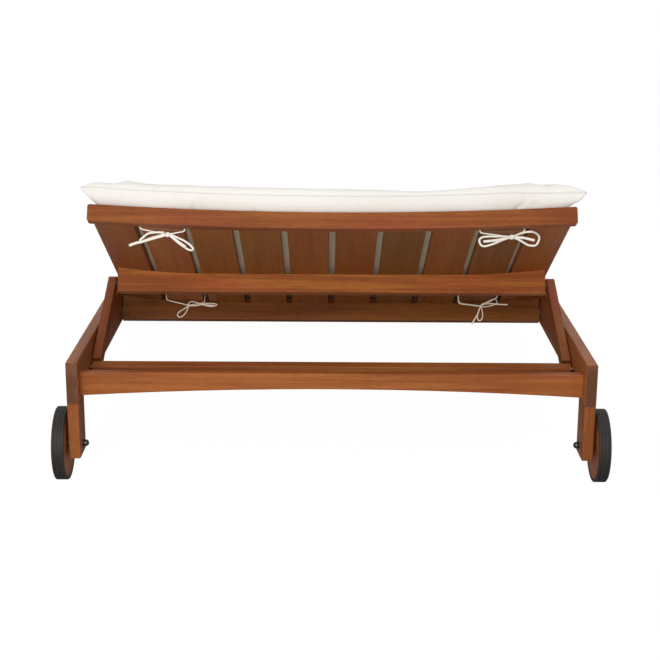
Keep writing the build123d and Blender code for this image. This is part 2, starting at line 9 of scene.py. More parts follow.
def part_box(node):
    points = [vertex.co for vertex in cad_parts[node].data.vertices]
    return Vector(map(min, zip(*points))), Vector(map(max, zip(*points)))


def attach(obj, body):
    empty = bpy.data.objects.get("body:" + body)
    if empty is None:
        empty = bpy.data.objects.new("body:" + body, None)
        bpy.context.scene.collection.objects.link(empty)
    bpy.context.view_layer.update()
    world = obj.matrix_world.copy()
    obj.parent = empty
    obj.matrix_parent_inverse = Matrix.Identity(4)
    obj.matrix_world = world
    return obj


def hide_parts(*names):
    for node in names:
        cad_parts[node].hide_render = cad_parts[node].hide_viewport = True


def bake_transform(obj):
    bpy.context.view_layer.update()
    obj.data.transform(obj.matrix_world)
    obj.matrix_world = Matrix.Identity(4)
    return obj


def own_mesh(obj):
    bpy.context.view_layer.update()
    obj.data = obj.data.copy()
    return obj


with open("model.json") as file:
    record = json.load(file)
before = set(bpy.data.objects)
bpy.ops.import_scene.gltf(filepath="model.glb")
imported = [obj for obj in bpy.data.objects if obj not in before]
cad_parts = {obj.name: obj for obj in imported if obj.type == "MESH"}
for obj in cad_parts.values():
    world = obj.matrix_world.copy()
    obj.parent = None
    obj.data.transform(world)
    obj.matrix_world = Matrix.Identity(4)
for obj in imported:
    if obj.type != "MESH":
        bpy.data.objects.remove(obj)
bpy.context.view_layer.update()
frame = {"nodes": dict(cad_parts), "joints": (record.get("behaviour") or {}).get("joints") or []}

# Double chaise lounger seen from behind its head end.
# Metres throughout; X runs across, +Y towards the foot end, +Z up.

# Backrest at rest, and the slats of both decks
joints = {joint["name"]: joint for joint in frame["joints"]}
hinge = Vector(joints["backrest_raise"]["pos_m"])
back_angle = radians(30)
slat_underside = 0.298
slat_thickness = 0.020
slat_pitch = 0.1298
slat_width = 0.1118
panel_offset = slat_underside - hinge.z
back_length = 0.750
back_rail_thickness = 0.028
rail_crest = panel_offset + 0.042
rail_rise = 0.020
rail_half = 0.652

# Dish of the slats
dish_depth = 0.021
dish_flat_half = 0.360
slatted_half = 0.640
dish_radius = ((slatted_half - dish_flat_half) ** 2 + dish_depth**2) / (2 * dish_depth)

# Cushions in plan, before they are filled
cushion_half = 0.646
cushion_thickness = 0.086
cushion_spacing = 0.0095
seam_share = 0.64
upper_roll = 0.070
lower_roll = 0.040
head_end_bow = 0.010
bow_sharpness = 7
ripple_height = 0.006
ear_sharpness = 9
fold_seam_height = 0.003
fold_seam_run = 0.05
fold_mitre = 1.6
fold_ear_share = 0.3
back_ears = {-1: 0.047, 1: 0.054}
back_fold_retreat = 0.95
back_ripple = 3.0
seat_ears = {-1: 0.014, 1: 0.014}
seat_fold_retreat = 0.2
seat_ripple = 8.0

# Filling and welt of the cushions
filling_pressure = 4.0
filling_steps = 20
swell_cap = 0.019
seam_gather = 0.045
fold_calm = 0.75
fold_calm_run = (-0.10, -0.02)
welt_radius = 0.0020

# Cushions as they lie
back_cushion_start = 0.003
back_cushion_end = 0.762
cushion_lift = 0.0015
resting_gap = 0.002
ramp_start = 0.640
ramp_end = back_length - back_rail_thickness - 0.004
sunk_corners = {-1: 0.006, 1: 0.013}
sunk_tips = {-1: 0.009, 1: 0.007}
corner_span = (0.46, 0.64)
tip_span = (0.63, 0.68)
corner_height = (0, 0.045)
corner_reach = (0.45, 0.70)
hollow_height = (0.045, 0.085)
hollow_reach = (0.5, 0.7)

# Tapes
tape_half_thickness = 0.0010
tape_stacking = 0.0011
loop_width_share = 0.9
tail_width_share = 1.15
strap_gap = 0.0035
knot_size = 2.3
knot_shares = (1.15, 0.8, 0.9)

# Dark strip under the fold, a sheet of painted shade
strip_half_length = 0.530
strip_thickness = 0.0012
strip_lift = 0.0012
strip_on_back = 0.040
strip_on_seat = 0.045
strip_overhang = 0.003
strip_back_share = 0.4
strip_seat_share = 0.6


def dish_rise(x):
    """Height of the dished slats above their flat middle."""
    run = max(abs(x) - dish_flat_half, 0)
    return dish_radius - sqrt(dish_radius**2 - run**2)


def on_back(x, along, above):
    """Place in the frame of a point of the backrest: across, up its slope and off its face."""
    y = hinge.y - along * cos(back_angle) + above * sin(back_angle)
    z = hinge.z + along * sin(back_angle) + above * cos(back_angle)
    return Vector((x, y, z))


def ease(value, low, high):
    """Smooth step from 0 at low to 1 at high."""
    share = min(max((value - low) / (high - low), 0), 1)
    return share * share * (3 - 2 * share)


# Shader maths
class Tone:
    """A value in a material: sums and products on it add Math nodes."""

    def __init__(self, tree, socket):
        self.tree = tree
        self.socket = socket

    def math(self, operation, *values):
        node = self.tree.nodes.new("ShaderNodeMath")
        node.operation = operation
        for slot, value in zip(node.inputs, values):
            plug(self.tree, slot, value)
        return Tone(self.tree, node.outputs[0])

    def __add__(self, other):
        return self.math("ADD", self, other)

    __radd__ = __add__

    def __sub__(self, other):
        return self.math("SUBTRACT", self, other)

    def __rsub__(self, other):
        return self.math("SUBTRACT", other, self)

    def __mul__(self, other):
        return self.math("MULTIPLY", self, other)

    __rmul__ = __mul__

    def __abs__(self):
        return self.math("ABSOLUTE", self)


def plug(tree, slot, value):
    """Link a tone to a node's socket, or set the socket to a plain value."""
    if isinstance(value, Tone):
        tree.links.new(value.socket, slot)
    else:
        slot.default_value = value


class Finish:
    """One material and the nodes that feed its shader."""

    def __init__(self, name, **sockets):
        self.material = bpy.data.materials.new(name)
        self.material.use_nodes = True
        self.tree = self.material.node_tree
        self.shader = self.tree.nodes["Principled BSDF"]
        self.set(**sockets)

    def set(self, **sockets):
        for key, value in sockets.items():
            plug(self.tree, self.shader.inputs[key.replace("_", " ")], value)

    def node(self, kind, output, settings=None, **sockets):
        made = self.tree.nodes.new("ShaderNode" + kind)
        for key, value in (settings or {}).items():
            setattr(made, key, value)
        for key, value in sockets.items():
            plug(self.tree, made.inputs[key.replace("_", " ")], value)
        return Tone(self.tree, made.outputs[output])

    def place(self):
        return self.node("TexCoord", "Object")

    def turned(self, vector, turn=(0, 0, 0), shift=(0, 0, 0)):
        return self.node("Mapping", "Vector", Vector=vector, Rotation=turn, Location=shift)

    def stretched(self, vector, scale):
        return self.node("Mapping", "Vector", Vector=vector, Scale=scale)

    def mottle(self, vector, scale, detail=2.0, roughness=0.5, distortion=0.0):
        return self.node("TexNoise", "Fac", Vector=vector, Scale=scale, Detail=detail,
                         Roughness=roughness, Distortion=distortion)

    def between(self, value, low, high):
        """Value spread to run from 0 at low to 1 at high."""
        return self.node("MapRange", "Result", {"interpolation_type": "SMOOTHSTEP"},
                         Value=value, From_Min=low, From_Max=high)

    def blend(self, amount, first, second):
        """Colour that goes from the first to the second as the amount goes from 0 to 1."""
        made = self.tree.nodes.new("ShaderNodeMix")
        made.data_type = "RGBA"
        factor, start, end = made.inputs[0], made.inputs[6], made.inputs[7]
        for slot, value in ((factor, amount), (start, first), (end, second)):
            plug(self.tree, slot, value)
        return Tone(self.tree, made.outputs[2])

    def bumped(self, height, distance, strength=1.0):
        self.set(Normal=self.node("Bump", "Normal", Height=height, Distance=distance, Strength=strength))


def colour(red, green, blue):
    return (red, green, blue, 1.0)


def scaled(shade, tone):
    """Colour multiplied channel by channel."""
    return colour(*(value * share for value, share in zip(shade, tone)))


# Wood
wood_tan = (0.315, 0.104, 0.023)
wood_red = (0.320, 0.076, 0.028)
wood_dark = (0.205, 0.054, 0.013)
wood_pore = (0.095, 0.026, 0.008)
wood_end = (0.105, 0.038, 0.016)
wood_ring = (0.330, 0.160, 0.082)
ring_pitch = 0.0062
ring_slant = radians(48)
grain_across = (0, 0, 0)
grain_lengthwise = (0, 0, -pi / 2)
grain_upright = (0, pi / 2, 0)


def hardwood(name, grain, seed, tone=(1, 1, 1), figured=1.0):
    """Oiled reddish hardwood whose grain runs the way that the turn gives, plain or strongly figured."""
    finish = Finish(name)
    shift = (seed * 1.7, seed * 3.1, seed * 0.9)
    board = finish.turned(finish.place(), grain, shift)
    bands = finish.mottle(finish.stretched(board, (0.55, 9.0, 9.0)), 2.6, 3.0, 0.55, 0.5)
    streaks = finish.mottle(finish.stretched(board, (0.9, 42.0, 42.0)), 2.4, 3.0, 0.6, 0.25)
    fibres = finish.mottle(finish.stretched(board, (5.0, 330.0, 330.0)), 1.3, 2.0)
    pores = finish.mottle(finish.stretched(board, (26.0, 620.0, 620.0)), 1.2, 1.0)
    clouds = finish.mottle(board, 5.5, 2.0)
    figure = bands * 0.46 + streaks * 0.36 + fibres * 0.10 + clouds * 0.08
    warmth = finish.mottle(finish.stretched(board, (1.3, 8.0, 8.0)), 2.3, 2.0)
    redness = finish.between(warmth, 0.47, 0.74)
    light = finish.blend(redness, scaled(wood_tan, tone), scaled(wood_red, tone))
    spread = 0.13 / figured
    paleness = finish.between(figure, 0.5 - spread, 0.5 + spread)
    body = finish.blend(paleness, scaled(wood_dark, tone), light)
    threads = finish.mottle(finish.stretched(board, (1.0, 120.0, 120.0)), 1.9, 2.0, 0.6)
    lines = finish.between(threads, 0.60, 0.70)
    body = finish.blend(lines * (0.35 * figured - 0.1), body, scaled(wood_pore, tone))
    open_pores = finish.between(pores, 0.60, 0.72)
    body = finish.blend(open_pores * 0.55, body, scaled(wood_pore, tone))
    facing = finish.node("Mapping", "Vector", {"vector_type": "VECTOR"},
                         Vector=finish.node("TexCoord", "Normal"), Rotation=grain)
    end_face = finish.between(abs(finish.node("SeparateXYZ", "X", Vector=facing)), 0.72, 0.90)
    slant = finish.turned(finish.place(), (radians(seed % 30), ring_slant, 0))
    wander = finish.mottle(board, 40.0, 2.0)
    ring_turn = finish.node("SeparateXYZ", "Z", Vector=slant) * (2 * pi / ring_pitch) + wander * 6.0
    rings = finish.between(ring_turn.math("SINE", ring_turn), 0.55, 0.95)
    patch = finish.between(finish.mottle(board, 14.0, 1.0), 0.40, 0.62)
    cut = finish.blend(rings * patch * 0.8, scaled(wood_end, tone), scaled(wood_ring, tone))
    finish.set(
        Base_Color=finish.blend(end_face, body, cut),
        Roughness=0.40 + fibres * 0.14 + open_pores * 0.18,
        Specular_IOR_Level=0.18,
    )
    finish.bumped(fibres * 0.5 - open_pores * 0.7 + streaks * 0.2, 0.0005, 0.55)
    return finish.material


# Other finishes
def tyre_rubber(name):
    """Black rubber, dull and faintly dusty."""
    finish = Finish(name, Specular_IOR_Level=0.35)
    place = finish.place()
    grit = finish.mottle(place, 900.0, 2.0)
    dust = finish.between(finish.mottle(place, 26.0, 3.0), 0.5, 0.8)
    finish.set(
        Base_Color=finish.blend(dust * 0.35, colour(0.015, 0.012, 0.010), colour(0.056, 0.043, 0.035)),
        Roughness=0.58 + grit * 0.16 + dust * 0.12,
    )
    finish.bumped(grit, 0.0003, 0.4)
    return finish.material


def plain_steel(name):
    """Machined steel with fine scratches and a little tarnish."""
    finish = Finish(name)
    place = finish.place()
    scratches = finish.mottle(finish.stretched(place, (300.0, 2600.0, 2600.0)), 1.0, 2.0)
    tarnish = finish.between(finish.mottle(place, 150.0, 3.0), 0.45, 0.75)
    finish.set(
        Base_Color=finish.blend(tarnish * 0.5, colour(0.58, 0.57, 0.55), colour(0.34, 0.31, 0.28)),
        Metallic=1.0,
        Roughness=0.26 + scratches * 0.18 + tarnish * 0.15,
    )
    finish.bumped(scratches, 0.0001, 0.3)
    return finish.material


def black_coat(name):
    """Black coating on the cap nuts, with a soft shine and rubbed spots."""
    finish = Finish(name, Specular_IOR_Level=0.5)
    place = finish.place()
    orange_peel = finish.mottle(place, 1300.0, 1.0)
    rubbed = finish.between(finish.mottle(place, 190.0, 2.0), 0.62, 0.75)
    finish.set(
        Base_Color=finish.blend(rubbed * 0.3, colour(0.006, 0.006, 0.007), colour(0.06, 0.056, 0.052)),
        Roughness=0.20 + orange_peel * 0.12 + rubbed * 0.2,
        Coat_Weight=0.25,
    )
    finish.bumped(orange_peel, 0.0001, 0.4)
    return finish.material


def black_nylon(name):
    """Matt nylon of the wheel bushes."""
    finish = Finish(name)
    grain = finish.mottle(finish.place(), 1600.0, 2.0)
    finish.set(
        Base_Color=finish.blend(grain, colour(0.022, 0.022, 0.024), colour(0.045, 0.045, 0.047)),
        Roughness=0.5 + grain * 0.15,
    )
    finish.bumped(grain, 0.0001, 0.4)
    return finish.material


# Distance from thread to thread
fine_thread = 0.0011
welt_thread = 0.0009
coarse_thread = 0.0014
tape_thread = 0.0008


def woven_cloth(name, pale, shade, pitch):
    """Off-white cloth: a plain weave on the piece's own cut, with faint slubs and soiling."""
    finish = Finish(name, Specular_IOR_Level=0.2, Sheen_Weight=0.15, Sheen_Roughness=0.5)
    cut = finish.node("UVMap", "UV", {"uv_map": "cut"})
    turns = 2 * pi / pitch
    across = finish.node("SeparateXYZ", "X", Vector=cut) * turns
    along = finish.node("SeparateXYZ", "Y", Vector=cut) * turns
    warp = across.math("SINE", across)
    weft = along.math("SINE", along)
    threads = 0.5 + (warp * weft) * 0.5
    slubs = finish.mottle(finish.stretched(cut, (30.0, 700.0, 1.0)), 1.0, 2.0)
    clouds = finish.mottle(finish.place(), 4.0, 3.0)
    thick = finish.between(slubs, 0.45, 0.75)
    soiled = finish.between(clouds, 0.35, 0.75)
    depth = threads * 0.14 + thick * 0.20 + soiled * 0.25
    finish.set(Base_Color=finish.blend(depth, pale, shade), Roughness=0.82 + threads * 0.08)
    finish.bumped(threads * 0.6 + slubs * 0.4, 0.0004, 0.5)
    return finish.material


# Dress the nodes that keep their own shape
def dress(node, material):
    """Give a CAD node one material in place of its own."""
    piece = frame["nodes"][node]
    piece.data.materials.clear()
    piece.data.materials.append(material)
    for face in piece.data.polygons:
        face.material_index = 0


arm_turn = radians(-23.2)
slat_figure = {"back": 0.5, "seat": 0.6}
seat_wood_seed = 20
board_wood_seed = 40
slat_tones = {
    1: (0.96, 0.98, 1.05), 2: (1.22, 1.30, 1.50), 3: (1.00, 1.08, 0.80), 4: (0.96, 1.14, 0.92),
    5: (1.00, 1.00, 0.85), 6: (0.88, 0.88, 0.64), 7: (0.70, 0.90, 0.70), 8: (0.90, 0.94, 0.76),
    9: (0.80, 0.94, 0.92), 10: (1.10, 1.10, 0.95),
}
for number, tone in slat_tones.items():
    grain = (back_angle, 0, -pi / 2)
    wood = hardwood(f"back slat {number} wood", grain, number, tone, slat_figure["back"])
    dress(f"back_slat_{number}", wood)
    partner = slat_tones[1 + number * 3 % 10]
    seed = seat_wood_seed + number
    wood = hardwood(f"seat slat {number} wood", grain_lengthwise, seed, partner, slat_figure["seat"])
    dress(f"seat_slat_{number}", wood)

board_grains = {
    "head_stretcher": grain_across,
    "seat_head_rail": grain_across,
    "seat_mid_rail": grain_across,
    "foot_stretcher": grain_across,
    "back_lower_rail": (back_angle, 0, 0),
    "back_mid_rail": (back_angle, 0, 0),
    "back_top_rail": (back_angle, 0, 0),
    "side_rail_left": grain_lengthwise,
    "side_rail_right": grain_lengthwise,
    "head_leg_left": grain_upright,
    "head_leg_right": grain_upright,
    "foot_leg_left": grain_upright,
    "foot_leg_right": grain_upright,
    "leg_dowels": grain_upright,
    "prop_arm_left": (arm_turn, 0, -pi / 2),
    "prop_arm_right": (arm_turn, 0, -pi / 2),
    "prop_crossbar": (arm_turn, 0, 0),
    "wheel_disc_left": grain_lengthwise,
    "wheel_disc_right": grain_lengthwise,
}
# Tones per board: the lower back rail and the prop arms are darkened with painted shade, and the back
# mid rail is lightened with painted light; the other entries set each board's tone
board_tones_and_painted_light = {
    "back_top_rail": (0.92, 0.88, 0.84),
    "back_mid_rail": (1.18, 1.16, 0.86),
    "back_lower_rail": (0.62, 0.60, 0.34),
    "prop_arm_left": (0.76, 0.62, 0.30),
    "prop_arm_right": (0.76, 0.62, 0.30),
    "head_stretcher": (1.06, 1.02, 0.94),
    "head_leg_left": (0.86, 0.82, 0.82),
    "head_leg_right": (0.90, 0.88, 0.86),
}
board_figure = {"back_mid_rail": 1.7}
for seed, (node, grain) in enumerate(board_grains.items(), start=board_wood_seed):
    tone = board_tones_and_painted_light.get(node, (1, 1, 1))
    dress(node, hardwood(f"{node} wood", grain, seed, tone, board_figure.get(node, 1.15)))

for side in ("left", "right"):
    dress(f"wheel_tyre_{side}", tyre_rubber(f"{side} tyre rubber"))
    dress(f"wheel_bush_{side}", black_nylon(f"{side} bush nylon"))
for node in ("back_pivot_washers", "prop_pivot_washers"):
    dress(node, black_nylon(f"{node} nylon"))
for node in (
    "frame_bolts",
    "back_pivot_bolts",
    "prop_pivot_bolts",
    "axle_bolts",
    "axle_washers",
    "prop_foot_pins",
):
    dress(node, plain_steel(f"{node} steel"))
dress("axle_cap_nuts", black_coat("cap nut black coat"))

cushion_cloth = woven_cloth(
    "cushion cloth", colour(0.86, 0.835, 0.79), colour(0.70, 0.665, 0.60), fine_thread)
welt_cloth = woven_cloth(
    "welt cloth", colour(0.80, 0.77, 0.72), colour(0.66, 0.62, 0.56), welt_thread)
# Tan cloth of the faces that rest on the slats: partly a backing, partly painted bounce light from the
# wood
backing_and_bounce_cloth = woven_cloth(
    "backing and painted bounce cloth", colour(0.70, 0.58, 0.40), colour(0.56, 0.45, 0.30), coarse_thread)
# Near-black cloth of the fold strip: painted shade under the fold
painted_shade_cloth = woven_cloth(
    "painted shade cloth", colour(0.075, 0.046, 0.030), colour(0.044, 0.028, 0.019), coarse_thread)
# Warmer copy of the tape cloth for the lower bows: painted bounce light from the wood
painted_light_tape_cloth = woven_cloth(
    "painted light tape cloth", colour(0.95, 0.83, 0.68), colour(0.80, 0.66, 0.50), tape_thread)
tape_cloth = woven_cloth(
    "tape cloth", colour(0.90, 0.86, 0.77), colour(0.74, 0.68, 0.57), tape_thread)


# Padded pieces
def as_object(mesh_name, form, material):
    """Turn a finished bmesh into a smooth-shaded object."""
    mesh = bpy.data.meshes.new(mesh_name)
    form.to_mesh(mesh)
    form.free()
    mesh.shade_smooth()
    mesh.materials.append(material)
    piece = bpy.data.objects.new(mesh_name, mesh)
    bpy.context.scene.collection.objects.link(piece)
    return piece


def cushion_form(length, ears, fold_retreat, ripple_seed):
    """Two cloth faces sewn along a rim, in the cushion's own plan: X across, Y along, Z up.

    Its low Y end meets the other cushion in a fold, where the seam runs along the bottom.
    """
    form = bmesh.new()
    cut = form.loops.layers.uv.new("cut")
    on_rim = form.verts.layers.int.new("rim")
    across = round(2 * cushion_half / cushion_spacing)
    lengthwise = round(length / cushion_spacing)
    bmesh.ops.create_grid(form, x_segments=across, y_segments=lengthwise, size=1)
    upper = list(form.verts)
    copied = bmesh.ops.duplicate(form, geom=form.verts[:] + form.edges[:] + form.faces[:])
    lower = [item for item in copied["geom"] if isinstance(item, bmesh.types.BMVert)]
    lower_faces = [item for item in copied["geom"] if isinstance(item, bmesh.types.BMFace)]
    bmesh.ops.reverse_faces(form, faces=lower_faces)
    for verts, height, roll in (
        (upper, cushion_thickness * (1 - seam_share), upper_roll),
        (lower, -cushion_thickness * seam_share, lower_roll),
    ):
        for vert in verts:
            u, v = vert.co.x, vert.co.y
            ear = ears[1 if u > 0 else -1] * (1 if v > 0 else fold_ear_share)
            half = cushion_half + ear * abs(v) ** ear_sharpness
            side_gap = min((1 - abs(u)) * cushion_half / roll, 1)
            end_gap = min((1 - abs(v)) * length / 2 / roll, 1)
            if v > 0:
                reach = length / 2 - head_end_bow * (1 - abs(u) ** bow_sharpness)
                end_rise = sqrt(1 - (1 - end_gap) ** 2)
            else:
                reach = length / 2 - fold_retreat * dish_rise(min(abs(u) * cushion_half, slatted_half))
                end_rise = 1 - (1 - end_gap) ** fold_mitre
            seam_drop = cushion_thickness * seam_share - fold_seam_height
            seam = -seam_drop * ease(-v * length / 2, length / 2 - fold_seam_run, length / 2)
            swell = sqrt(1 - (1 - side_gap) ** 2) * end_rise
            ripple = noise.noise(Vector((u * 5, v * 4, ripple_seed))) * ripple_height
            vert.co = (u * half, v * reach, seam + (height + ripple - seam) * swell)
            vert[on_rim] = int(max(abs(u), abs(v)) > 0.9999)
    bmesh.ops.remove_doubles(form, verts=form.verts, dist=0.0005)
    for face in form.faces:
        for loop in face.loops:
            loop[cut].uv = loop.vert.co.xy
    form.verts.index_update()
    rim = [vert for vert in form.verts if vert[on_rim]]
    rim.sort(key=lambda vert: atan2(vert.co.y / length, vert.co.x / cushion_half / 2))
    order = [vert.index for vert in rim]
    form.verts.layers.int.remove(on_rim)
    return form, order


def swelled(piece, rim):
    """Inflate the piece as cloth, gathered along its rim, and keep each point near where it began."""
    start = [vert.co.copy() for vert in piece.data.vertices]
    fold_end = min(place.y for place in start)
    cloth = piece.modifiers.new("swell", "CLOTH")
    settings = cloth.settings
    settings.use_pressure = True
    settings.uniform_pressure_force = filling_pressure
    settings.effector_weights.gravity = 0
    settings.tension_stiffness = 12
    settings.compression_stiffness = 12
    settings.bending_stiffness = 0.3
    settings.shrink_min = -0.012
    settings.shrink_max = seam_gather
    seam = piece.vertex_groups.new(name="seam")
    for index in rim:
        seam.add([index], 1.0, "REPLACE")
    settings.vertex_group_shrink = "seam"
    scene = bpy.context.scene
    for step in range(filling_steps):
        scene.frame_set(step + 1)
    swollen = piece.evaluated_get(bpy.context.evaluated_depsgraph_get())
    ends = [vert.co.copy() for vert in swollen.data.vertices]
    piece.modifiers.clear()
    scene.frame_set(1)
    for vert, first, last in zip(piece.data.vertices, start, ends):
        move = last - first
        if move.length > 0:
            cap = swell_cap * (1 - fold_calm * ease(fold_end - first.y, *fold_calm_run))
            move *= cap * (1 - exp(-move.length / cap)) / move.length
        vert.co = first + move


def finer(piece):
    """Apply one subdivision to the piece's mesh."""
    piece.modifiers.new("finer", "SUBSURF").levels = 1
    piece.modifiers["finer"].render_levels = 1
    depsgraph = bpy.context.evaluated_depsgraph_get()
    smooth = bpy.data.meshes.new_from_object(piece.evaluated_get(depsgraph))
    piece.modifiers.clear()
    piece.data = smooth


# Folds in the back cushion's head face:
# across, height off the rail, half length, half width, slant, depth
creases = (
    (-0.376, 0.004, 0.010, 0.006, radians(70), 0.024),
    (-0.352, 0.012, 0.016, 0.006, radians(-30), 0.005),
    (-0.562, 0.024, 0.020, 0.006, radians(50), 0.005),
    (0.500, 0.014, 0.024, 0.005, radians(32), 0.012),
    (0.545, 0.020, 0.018, 0.006, radians(20), 0.004),
    (-0.210, 0.004, 0.008, 0.006, radians(80), 0.010),
    (-0.090, 0.004, 0.008, 0.006, radians(75), 0.009),
)
crease_run = (0.09, 0.03)
# Hollows along the back cushion's crown: across, half width, depth
hollows = (
    (0.25, 0.12, 0.009),
    (0.51, 0.05, 0.003),
    (0.575, 0.04, -0.005),
    (-0.50, 0.14, 0.005),
)


def creased(place, length):
    """Point of the back cushion with the folds pressed into its head face."""
    dent = 0
    for x, height, half_length, half_width, slant, depth in creases:
        across, up = place.x - x, place.z - height
        lengthwise = (across * cos(slant) + up * sin(slant)) / half_length
        sideways = (up * cos(slant) - across * sin(slant)) / half_width
        dent += depth * exp(-lengthwise**2 - sideways**2)
    start, end = (length / 2 - inset for inset in crease_run)
    return place - Vector((0, dent * ease(place.y, start, end), 0))


def sinkage(x, along, height):
    """How far a point of the back cushion sinks at its corners and tips, and in its crown's hollows."""
    side = 1 if x > 0 else -1
    corner = sunk_corners[side] * ease(abs(x), *corner_span)
    tip = sunk_tips[side] * ease(abs(x), *tip_span)
    sunk = (corner + tip) * ease(height, *corner_height) * ease(along, *corner_reach)
    for middle, half_width, depth in hollows:
        hollow = depth * exp(-((x - middle) / half_width) ** 2)
        sunk += hollow * ease(height, *hollow_height) * ease(along, *hollow_reach)
    return sunk


def lay_on_back(place, length):
    """Place on the backrest of a point of a cushion's plan, over the dish and up onto the top rail."""
    place = creased(place, length)
    along = (back_cushion_start + back_cushion_end) / 2 + place.y
    flat = panel_offset + slat_thickness - dish_depth + dish_rise(min(abs(place.x), slatted_half))
    crest = rail_crest - rail_rise * (1 - (min(abs(place.x), rail_half) / rail_half) ** 2)
    ride = (crest - flat) * ease(along, ramp_start, ramp_end)
    sunk = sinkage(place.x, along, place.z)
    return on_back(place.x, along, flat + ride + cushion_lift + place.z - sunk)


def lay_on_seat(place, middle):
    """Place on the seat of a point of a cushion's plan, over the dish."""
    flat = slat_underside + slat_thickness - dish_depth + dish_rise(min(abs(place.x), slatted_half))
    return Vector((place.x, middle + place.y, flat + cushion_lift + place.z))


def settled(place):
    """Height of a cushion's point above its support, flattened where it presses on it."""
    height = place.z + cushion_thickness * seam_share
    return Vector((place.x, place.y, max(height, 0.0)))


def route_through(name, points, resolution):
    """Smooth curve led by the points, and its spline."""
    route = bpy.data.curves.new(name, "CURVE")
    route.dimensions = "3D"
    route.resolution_u = resolution
    spline = route.splines.new("NURBS")
    spline.points.add(len(points) - 1)
    for knot, place in zip(spline.points, points):
        knot.co = (*place, 1)
    return route, spline


def as_mesh(name, route):
    """Mesh of a curve."""
    carrier = bpy.data.objects.new(name, route)
    bpy.context.scene.collection.objects.link(carrier)
    depsgraph = bpy.context.evaluated_depsgraph_get()
    mesh = bpy.data.meshes.new_from_object(carrier.evaluated_get(depsgraph))
    bpy.data.objects.remove(carrier)
    return mesh


def closed_welt(name, points):
    """Round welt along the closed seam that the points follow, as a mesh."""
    route, spline = route_through(name, points, resolution=2)
    route.bevel_depth = welt_radius
    route.bevel_resolution = 2
    spline.use_cyclic_u = True
    return as_mesh(name, route)


def build_cushion(name, length, ears, fold_retreat, ripple_seed, laid, body):
    """Sew, fill and lay one cushion, with its welt along the seam."""
    form, rim = cushion_form(length, ears, fold_retreat, ripple_seed)
    piece = as_object(name, form, cushion_cloth)
    swelled(piece, rim)
    finer(piece)
    lowest = resting_gap - cushion_thickness * seam_share
    resting = [vert.co.z < lowest for vert in piece.data.vertices]
    for vert in piece.data.vertices:
        vert.co = laid(settled(vert.co))
    welt = closed_welt(f"{name}_welt", [piece.data.vertices[index].co for index in rim])
    form = bmesh.new()
    form.from_mesh(piece.data)
    sewn = len(form.faces)
    form.from_mesh(welt)
    bpy.data.meshes.remove(welt)
    form.faces.ensure_lookup_table()
    cut = form.loops.layers.uv["cut"]
    # Faces that rest on the slats take the tan cloth, its warm tint partly painted bounce light
    for face in form.faces[:sewn]:
        if all(resting[vert.index] for vert in face.verts):
            face.material_index = 2
    for face in form.faces[sewn:]:
        face.material_index = 1
        for loop in face.loops:
            loop[cut].uv = loop.vert.co.xy
    form.to_mesh(piece.data)
    form.free()
    piece.data.shade_smooth()
    piece.data.materials.append(welt_cloth)
    piece.data.materials.append(backing_and_bounce_cloth)
    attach(piece, body)
    return piece


back_cushion_length = back_cushion_end - back_cushion_start
back_pad = build_cushion("back_pad", back_cushion_length, back_ears, back_fold_retreat, back_ripple,
                         lambda place: lay_on_back(place, back_cushion_length), "backrest")
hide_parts("back_cushion")

seat_slat_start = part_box("seat_slat_5")[0].y
seat_cushion_start = seat_slat_start + 0.002
seat_cushion_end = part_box("seat_cushion")[1].y
seat_middle = (seat_cushion_start + seat_cushion_end) / 2
seat_cushion_length = seat_cushion_end - seat_cushion_start
seat_pad = build_cushion("seat_pad", seat_cushion_length, seat_ears, seat_fold_retreat, seat_ripple,
                         lambda place: lay_on_seat(place, seat_middle), "root")
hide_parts("seat_cushion")


